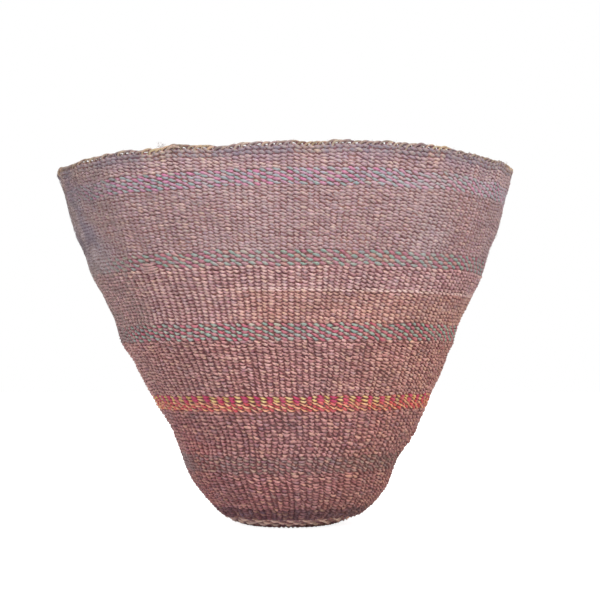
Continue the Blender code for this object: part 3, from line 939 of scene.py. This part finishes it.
# Every stretch of rows from the foot up: the CAD ring it belongs to, its name, the share of the
# ring it reaches up to, its two yarns, and how it lies and is finished
ROWS = (
    ("foot_line_weft", "foot_line_weft", 1, (PALE_PINK, CHARCOAL), FOOT_LINE),
    ("foot_band_weft", "foot_band_weft", 1, (CHARCOAL_PLUM, DARK_CHARCOAL), CLOSE),
    ("plain_weft_1", "plain_weft_1", 1, (PLUM, PLUM), CLOSE),
    (
        "faint_band_weft", "faint_band_weft", 1, (BROWN_PLUM, GREY_GREEN),
        dict(CLOSE, shift=1, left_side=0.8),
    ),
    ("plain_weft_2", "plain_weft_2", 1, (LIGHT_PLUM, LIGHT_PLUM), dict(CLOSE, pitch=0.00265)),
    (
        "red_yellow_band_weft", "red_orange_weft", 0.58, (SALMON_RED, ORANGE),
        dict(RED, shift=1, drop=0.0008, lift=-0.0003, heights=(1.12, 0.66)),
    ),
    (
        "red_yellow_band_weft", "crimson_yellow_weft", 1, (CRIMSON, YELLOW),
        dict(RED, heights=(1.10, 0.74)),
    ),
    ("plain_weft_3", "plain_weft_3", 1, (ROSE_MAUVE, ROSE_MAUVE), dict(CLOSE, pitch=0.00226)),
    (
        "lower_mint_band_weft", "lower_mint_band_weft", 1, (DEEP_ROSE, MINT),
        dict(shift=1, left_side=0.8, hollow_shade=SOFT_HOLLOW_SHADE),
    ),
    (
        "plain_weft_4", "plain_weft_4", 1, (PALE_ROSE, PALE_ROSE),
        dict(pitch=0.00238, hollow_shade=SOFT_HOLLOW_SHADE, lot=CORAL_LOT),
    ),
    (
        "middle_mint_band_weft", "middle_mint_band_weft", 1, (DULL_ROSE, DULL_MINT),
        dict(GREYED, shift=1),
    ),
    (
        "plain_weft_5", "plain_weft_5", 1, (GREY_MAUVE, GREY_MAUVE),
        dict(GREYED, pitch=0.00221, stitch_spread=EVEN_DYE),
    ),
    (
        "pink_mint_band_weft", "pink_mint_band_weft", 1, (PINK, BLUE_MINT),
        dict(GREYED, shift=1, right_side=0.3),
    ),
    ("top_weft", "top_weft", 0.62, (PALE_MAUVE, PALE_MAUVE), TOP),
    ("top_weft", "last_rows_weft", 1, (BLUE_MAUVE, BLUE_MAUVE), TOP),
)


def twine_run(
    node, label, start, end, columns, yarns, shift=0, pitch=ROW_PITCH, throw=STITCH_THROW,
    drop=STITCH_DROP, depth=YARN_DEPTH, lift=0.0, loose=LOOSENESS, uneven=UNEVEN_TWIST,
    heights=(1.0, 1.0), **finish,
):
    """Twines both yarns of one run of rows between two places along the wall.

    The pattern shifts this many stitches in each row, and the heights are shares of the pitch.
    """
    rows = max(1, round((end - start) / pitch))
    pitch = (end - start) / rows
    for strand, (dye, pale) in enumerate(yarns):
        name = f"{label}_yarn_{'ab'[strand]}"
        number = len(bpy.data.materials)
        piece = made_by(weft, name, {
            "Guide": guide, "First along": start, "Row pitch": pitch, "Rows": rows,
            "Columns": columns, "Strand": float(strand), "Shift": float(shift), "Throw": throw,
            "Drop": drop, "Yarn height": heights[strand] * pitch, "Yarn depth": depth,
            "Looseness": loose, "Uneven twist": uneven, "Lift": lift * (1 - 2 * strand),
            "Seed": number, "Material": fibre_finish(name, dye, pale, 17.0 * number, **finish),
        })
        lay_yarn_maps(
            piece, [rows * columns * SEGMENTS_PER_STITCH + 1], YARN_SIDES,
            1 / SEGMENTS_PER_STITCH, FACE_LENGTH_OVER_WIDTH,
        )
        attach(piece, "root")
        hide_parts(node)


for number, (low, high, columns) in enumerate(BASE_RINGS, 1):
    base_yarns = (BASE_PLUM, BASE_PLUM)
    twine_run("base_weft", f"base_weft_{number}", low, high, columns, base_yarns, **BASE)
spans = {node: (low, high, columns) for node, low, high, columns in runs}
start = base_end
for node, label, reach_share, yarns, making in ROWS:
    low, high, columns = spans[node]
    end = low + reach_share * (high - low)
    twine_run(node, label, start, end, columns, yarns, **making)
    start = end


# The rim: each warp end, left bare above the last row of weft, bends over to the right, passes in
# front of its neighbour and is tucked down behind the next. The small loops stand side by side as
# a scalloped edge, and light shows through the tiny holes under them.
RIM_COLUMNS = 228
LOOP_RISE = 0.0015
LOOP_TUCK = 0.0022
LOOP_REACH = 1.9
REACH_SPREAD = 0.5
LOOP_SWING = 0.0007
SWING_SPREAD = 0.0002
LOOP_THICKNESS = 0.00135
THICKNESS_SPREAD = 0.2
LOOP_LOOSENESS = 0.00036
# Where along itself a loop bends sideways, how full its arch is, and how far it stands exposed,
# which sets how much painted shade its finish lays on
LOOP_BEND = (0.06, 0.94)
LOOP_FULLNESS = 2.3
STANDING_OUT = 0.85
LOOP_POINTS = 13
LOOP_SIDES = 6
loops, given, wanted = new_group("Folded warp ends", "GeometryNodeTree", {
    "Guide": "object", "Material": "material", "Columns": "count", "First along": "number",
    "Rise": "number", "Tuck": "number", "Reach": "number", "Swing": "number",
    "Thickness": "number", "Points": "count", "Looseness": "number", "Seed": "count",
}, {"Geometry": "geometry"})
rails, cord, share = laid_rails(loops, given)
chance = parts(loops, chances(loops, cord, given["Seed"]))
reach = calc(loops, "MULTIPLY_ADD", chance["X"], REACH_SPREAD, given["Reach"])
column = calc(loops, "MULTIPLY_ADD", eased(loops, share, *LOOP_BEND), reach, cord)
turn = calc(loops, "FRACT", calc(loops, "DIVIDE", column, given["Columns"]))
from_top = calc(loops, "ABSOLUTE", calc(loops, "MULTIPLY_ADD", share, 2.0, -1.0))
lift = calc(loops, "SUBTRACT", 1.0, calc(loops, "POWER", from_top, LOOP_FULLNESS))
even_rise = calc(loops, "ADD", given["Rise"], given["Tuck"])
full_rise = calc(loops, "MULTIPLY_ADD", chance["Y"], given["Looseness"], even_rise)
foot = calc(loops, "SUBTRACT", given["First along"], given["Tuck"])
spot = placed_on_wall(
    loops, given["Guide"], turn, calc(loops, "MULTIPLY_ADD", lift, full_rise, foot)
)
wave = calc(loops, "SINE", calc(loops, "MULTIPLY", share, math.tau))
swing = calc(loops, "MULTIPLY_ADD", chance["Z"], SWING_SPREAD, given["Swing"])
swung_out = scaled(loops, spot["Outward"], calc(loops, "MULTIPLY", wave, swing))
bent = add(loops, "GeometryNodeSetPosition", {
    "Geometry": rails, "Position": added(loops, spot["Place"], swung_out),
})[0]
profile = add(loops, "GeometryNodeCurvePrimitiveCircle", {
    "Resolution": LOOP_SIDES, "Radius": calc(loops, "MULTIPLY", given["Thickness"], 0.5),
})[0]
plump = calc(loops, "MULTIPLY_ADD", chance["Z"], THICKNESS_SPREAD, 1.0)
finish_tree(loops, tubed(loops, bent, profile, plump), given, wanted, STANDING_OUT)

rim = made_by(loops, "rim_loops", {
    "Guide": guide, "Columns": RIM_COLUMNS, "First along": woven_end, "Rise": LOOP_RISE,
    "Tuck": LOOP_TUCK, "Reach": LOOP_REACH, "Swing": LOOP_SWING, "Thickness": LOOP_THICKNESS,
    "Points": LOOP_POINTS, "Looseness": LOOP_LOOSENESS, "Seed": 5,
    "Material": fibre_finish(
        "rim_fibre", (147, 121, 99), (210, 185, 153), seed=5.0, stitch_spread=1.1,
        hollow_shade=FADED_HOLLOW_SHADE,
    ),
})
lay_yarn_maps(rim, [LOOP_POINTS] * RIM_COLUMNS, LOOP_SIDES, ring_step=0.08, cell_shape=1.2)
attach(rim, "root")
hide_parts("rim_braid")


# The tucked end: the last of the warp ends, bound in a short lump that stands up from the rim to
# the left of the middle of the side shown.
KNOT_AZIMUTH = -25
KNOT_LENGTH = 0.0105
KNOT_WIDTH = 0.0020
KNOT_DEPTH = 0.0017
KNOT_SINK = 0.0012
KNOT_HUMP = 0.0011
KNOT_POINTS = 9
# Its three strands: out from the wall's middle, up, and along the rim
KNOT_STRANDS = ((0.0009, -0.0003, 0.0), (-0.0008, 0.0, 0.0008), (0.0001, 0.0009, -0.0006))
CORD_SIDES = 6
CORD_STEP = 0.5
CORD_FACE_SHAPE = 1.5
# Cords are drawn in to this share of their size over the last fifth at both ends
END_SHARE = 0.35
END_RATE = 5
TURN_STEP = 0.001
laid, given, wanted = new_group("Cord along its line", "GeometryNodeTree", {
    "Geometry": "geometry", "Material": "material", "Flat side": "vector", "Width": "number",
    "Depth": "number", "Sides": "count",
}, {"Geometry": "geometry"})
drawn_in = add(laid, "GeometryNodeInputRadius")[0]
cords = oval_tubed(laid, given["Geometry"], given["Flat side"], given["Sides"], given, drawn_in)
finish_tree(laid, cords, given, wanted, STANDING_OUT)


def lay_cords(name, lines, width, depth, flat_side, finish, sides=CORD_SIDES):
    """Cords laid along lines of points, drawn in towards their ends."""
    curve = bpy.data.curves.new(name, "CURVE")
    curve.dimensions = "3D"
    for points in lines:
        spline = curve.splines.new("POLY")
        spline.points.add(len(points) - 1)
        for number, (point, place) in enumerate(zip(spline.points, points)):
            from_end = min(number, len(points) - 1 - number) / (len(points) - 1)
            point.co = (*place, 1.0)
            point.radius = END_SHARE + (1 - END_SHARE) * math.sqrt(min(1.0, from_end * END_RATE))
    piece = made_by(laid, name, {
        "Material": finish, "Flat side": flat_side, "Width": width, "Depth": depth, "Sides": sides,
    }, start=curve)
    lay_yarn_maps(piece, [len(points) for points in lines], sides, CORD_STEP, CORD_FACE_SHAPE)
    return piece


def from_wall(azimuth, along, out):
    """A point at degrees right of the front, at a way along the wall, and out from its middle."""
    turn = np.interp([azimuth / 360 + 0.5], angle_marks, column_marks)
    way = np.array([along])
    here = on_wall(turn, way)[0]
    right = on_wall(turn + TURN_STEP, way)[0] - here
    above = on_wall(turn, way + CLIMB_STEP)[0] - here
    outward = np.cross(right, above)
    return here + out * outward / np.linalg.norm(outward)


knot_lines = []
for out, lift, slide in KNOT_STRANDS:
    line = []
    for step in np.linspace(-0.5, 0.5, KNOT_POINTS):
        azimuth = KNOT_AZIMUTH + math.degrees((step * KNOT_LENGTH + slide) / MOUTH_RADIUS)
        hump = math.cos(math.pi * step) * (KNOT_HUMP + lift)
        line.append(from_wall(azimuth, woven_end + LOOP_RISE - KNOT_SINK + hump, out))
    knot_lines.append(line)
knot = lay_cords(
    "tucked_end", knot_lines, KNOT_WIDTH, KNOT_DEPTH, (0.0, 0.0, 1.0),
    fibre_finish("tucked_end_fibre", (170, 142, 128), (214, 188, 166), seed=9.0),
)
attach(knot, "root")
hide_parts("rim_end_knot")


# The start at the middle of the base, where two bundles of warp cords cross at right angles. The
# first row of weft goes round them and holds them together.
START_CORDS = 8
START_HALF_WIDTH = 0.0114
START_ROUND = 0.0112
START_DEPTH = 0.00205
START_POINTS = 9
START_MIDDLE_X = LEAN / 2
CORD_PITCH = START_HALF_WIDTH * 2 / START_CORDS
CORD_WIDTH_SHARE = 0.98
WOBBLE = 0.00012
WOBBLE_RATE = 900
WOBBLE_STEP = 2.1
# Each bundle: its CAD node, whether its cords run across, and how high its middle lies
BUNDLES = (("warp_start_lower", False, 0.00115), ("warp_start_upper", True, 0.00345))
for node, runs_across, middle in BUNDLES:
    lines = []
    for number in range(START_CORDS):
        aside = (number + 0.5) * CORD_PITCH - START_HALF_WIDTH
        half = math.sqrt(START_ROUND ** 2 - aside ** 2)
        line = []
        for way in np.linspace(-half, half, START_POINTS):
            wobbled = aside + WOBBLE * math.sin(WOBBLE_RATE * way + WOBBLE_STEP * number)
            across, deep = (way, wobbled) if runs_across else (wobbled, way)
            line.append((START_MIDDLE_X + across, deep, middle))
        lines.append(line)
    bundle = lay_cords(
        f"{node}_cords", lines, CORD_PITCH * CORD_WIDTH_SHARE, START_DEPTH, (0.0, 0.0, 1.0),
        fibre_finish(
            f"{node}_fibre", (150, 116, 104), (186, 156, 138), seed=21.0 if runs_across else 20.0
        ),
    )
    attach(bundle, "root")
    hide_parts(node)


# The mend on the left: four long stitches of pale yarn laid over a worn spot of the weave, side by
# side, with their ends tucked in.
MEND_AZIMUTH = -39
MEND_HEIGHT = 0.1785
MEND_RADIUS = 0.142
MEND_LENGTH = 0.0145
MEND_PITCH = 0.0016
MEND_SLANT = 0.0011
MEND_END_OUT = 0.0009
MEND_BULGE = 0.0016
MEND_WIDTH = 0.0019
MEND_DEPTH = 0.0011
MEND_FACING = (-0.63, -0.78, 0.0)
MEND_POINTS = 9
# Each stitch: how far it is slid aside, and its share of the length
MEND_STITCHES = ((0.0, 0.8), (0.0012, 1.0), (-0.0006, 0.95), (0.0004, 0.75))
mend_lines = []
for row, (slide, length_share) in enumerate(MEND_STITCHES):
    line = []
    row_along = along_at(MEND_HEIGHT) + (row - (len(MEND_STITCHES) - 1) / 2) * MEND_PITCH
    for step in np.linspace(-0.5, 0.5, MEND_POINTS):
        aside = step * MEND_LENGTH * length_share + slide
        azimuth = MEND_AZIMUTH + math.degrees(aside / MEND_RADIUS)
        out = MEND_END_OUT + MEND_BULGE * (1 - (2 * abs(step)) ** 3)
        line.append(from_wall(azimuth, row_along - MEND_SLANT * step, out))
    mend_lines.append(line)
mend = lay_cords(
    "mend_stitches", mend_lines, MEND_WIDTH, MEND_DEPTH, MEND_FACING,
    fibre_finish(
        "mend_fibre", (180, 138, 136), (206, 166, 162), seed=30.0, left_side=0.0, stitch_spread=0.3
    ),
)
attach(mend, "root")


# Loose fibres: fine hairs that have worked out of the yarns. They lie as a grey veil on the worn
# left side, stand up along the rim and at the tucked end, and are few elsewhere.
HAIR_THICKNESS = 0.00022
HAIR_SIDES = 3
HAIR_POINTS = 5
HAIR_BEND = 1.2
STAND_OUT = 0.0014
# Name, how many, degrees from the front, heights, lengths, headings up from the right, how far out
# from the wall's middle each starts, and how far further out it ends
HAIRS = (
    (
        "left_side_fibres", 2600, (-92, -45), (0.140, 0.2475), (0.003, 0.008), (-180, 180),
        STAND_OUT, (0.0001, 0.0008),
    ),
    (
        "wall_fibres", 900, (-180, 180), (0.02, 0.2475), (0.002, 0.006), (-180, 180),
        STAND_OUT, (0.0001, 0.0010),
    ),
    (
        "rim_fibres", 900, (-180, 180), (0.2490, 0.2520), (0.0010, 0.0026), (35, 145),
        0.0, (-0.0006, 0.0006),
    ),
    (
        "tucked_end_fibres", 14, (-29, -27), (0.2515, 0.2528), (0.0025, 0.0050), (70, 150),
        0.0, (-0.0006, 0.0006),
    ),
)
step = np.linspace(0.0, 1.0, HAIR_POINTS)
for seed, (name, count, azimuths, heights, lengths, headings, start_out, ends_out) in enumerate(HAIRS):
    draw = np.random.default_rng(seed)
    spans = (azimuths, heights, lengths, headings, (-HAIR_BEND, HAIR_BEND), ends_out)
    azimuth, height, length, heading, bend, end_out = (
        draw.uniform(*span, (count, 1)) for span in spans
    )
    way = np.radians(heading) + bend * step
    along = np.interp(height, wall_heights, path_along[1:])
    radius = np.interp(along, path_along, path_radius)
    turn = np.interp(azimuth / 360 + 0.5, angle_marks, column_marks)
    turn = turn + length * step * np.cos(way) / (math.tau * radius)
    along = along + length * step * np.sin(way)
    above_end = np.maximum(along - path_along[-1], 0.0)
    here = on_wall(turn, along - above_end)
    right = on_wall(turn + TURN_STEP, along - above_end) - here
    upward = here - on_wall(turn, along - above_end - CLIMB_STEP)
    upward /= np.linalg.norm(upward, axis=-1, keepdims=True)
    outward = np.cross(right, upward)
    outward /= np.linalg.norm(outward, axis=-1, keepdims=True)
    out = start_out + end_out * step ** 1.5
    spots = here + above_end[..., None] * upward + out[..., None] * outward
    hairs = lay_cords(
        name, spots.tolist(), HAIR_THICKNESS, HAIR_THICKNESS, (0.0, 0.0, 1.0),
        fibre_finish(
            f"{name}_finish", (188, 166, 160), (230, 213, 206), seed=40.0 + seed, hollow_shade=(1, 1, 1)
        ),
        HAIR_SIDES,
    )
    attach(hairs, "root")


# The stand-in studio: a pale floor that keeps the basket's shadow, a white surround, and soft
# light from the front, a little above and to the right.
CAMERA_PLACE = (0.0102, -1.023, 0.118)
CAMERA_PITCH = math.radians(92.452)
LENS = 84.06
FLOOR_REACH = 4
FLOOR_GREY = 0.8
FLOOR_GLOW = 0.9
DOME = 0.40
LAMP_AIM = (0.0, 0.0, 0.12)
# Name, place, size and strength
LAMPS = (
    ("front_light", (0.33, -1.25, 1.25), 0.7, 19.5),
    ("left_light", (-1.6, -0.8, 0.7), 1.2, 4.5),
    ("back_light", (0.3, 1.6, 1.4), 1.2, 9.0),
)


def seen_directly(tree):
    """One for what the camera sees, also by a shine or through glass, and none for other rays."""
    rays = add(tree, "ShaderNodeLightPath")
    by_object = calc(tree, "MAXIMUM", rays["Is Glossy Ray"], rays["Is Transmission Ray"])
    return calc(tree, "MAXIMUM", rays["Is Camera Ray"], by_object)


floor_mesh = bpy.data.meshes.new("floor")
floor_mesh.from_pydata([
    (-FLOOR_REACH, -FLOOR_REACH, 0), (FLOOR_REACH, -FLOOR_REACH, 0),
    (FLOOR_REACH, FLOOR_REACH, 0), (-FLOOR_REACH, FLOOR_REACH, 0),
], [], [(0, 1, 2, 3)])
floor = bpy.data.objects.new("floor", floor_mesh)
scene.collection.objects.link(floor)
floor_paint = bpy.data.materials.new("floor")
floor_paint.use_nodes = True
tree = floor_paint.node_tree
fill(tree, tree.nodes["Principled BSDF"].inputs, {
    "Base Color": (FLOOR_GREY, FLOOR_GREY, FLOOR_GREY, 1.0), "Roughness": 0.9,
    "Emission Color": (1.0, 1.0, 1.0, 1.0),
    "Emission Strength": calc(tree, "MULTIPLY", seen_directly(tree), FLOOR_GLOW),
})
floor_mesh.materials.append(floor_paint)

world = bpy.data.worlds.new("studio")
scene.world = world
world.use_nodes = True
tree = world.node_tree
fill(tree, tree.nodes["Background"].inputs, {
    "Color": (1.0, 1.0, 1.0, 1.0),
    "Strength": calc(tree, "MULTIPLY_ADD", seen_directly(tree), 1.0 - DOME, DOME),
})

for name, place, size, energy in LAMPS:
    lamp = bpy.data.lights.new(name, "AREA")
    lamp.size = size
    lamp.energy = energy
    light = bpy.data.objects.new(name, lamp)
    light.location = place
    across, deep, up = np.array(LAMP_AIM) - np.array(place)
    light.rotation_euler = (
        math.atan2(math.hypot(across, deep), -up), 0.0, math.atan2(across, -deep) + math.pi
    )
    scene.collection.objects.link(light)

camera_lens = bpy.data.cameras.new("camera")
camera_lens.lens = LENS
camera_lens.sensor_width = 36.0
camera = bpy.data.objects.new("camera", camera_lens)
camera.location = CAMERA_PLACE
camera.rotation_euler = (CAMERA_PITCH, 0.0, 0.0)
scene.collection.objects.link(camera)
scene.camera = camera
scene.view_settings.view_transform = "Standard"

bpy.data.objects.remove(guide, do_unlink=True)
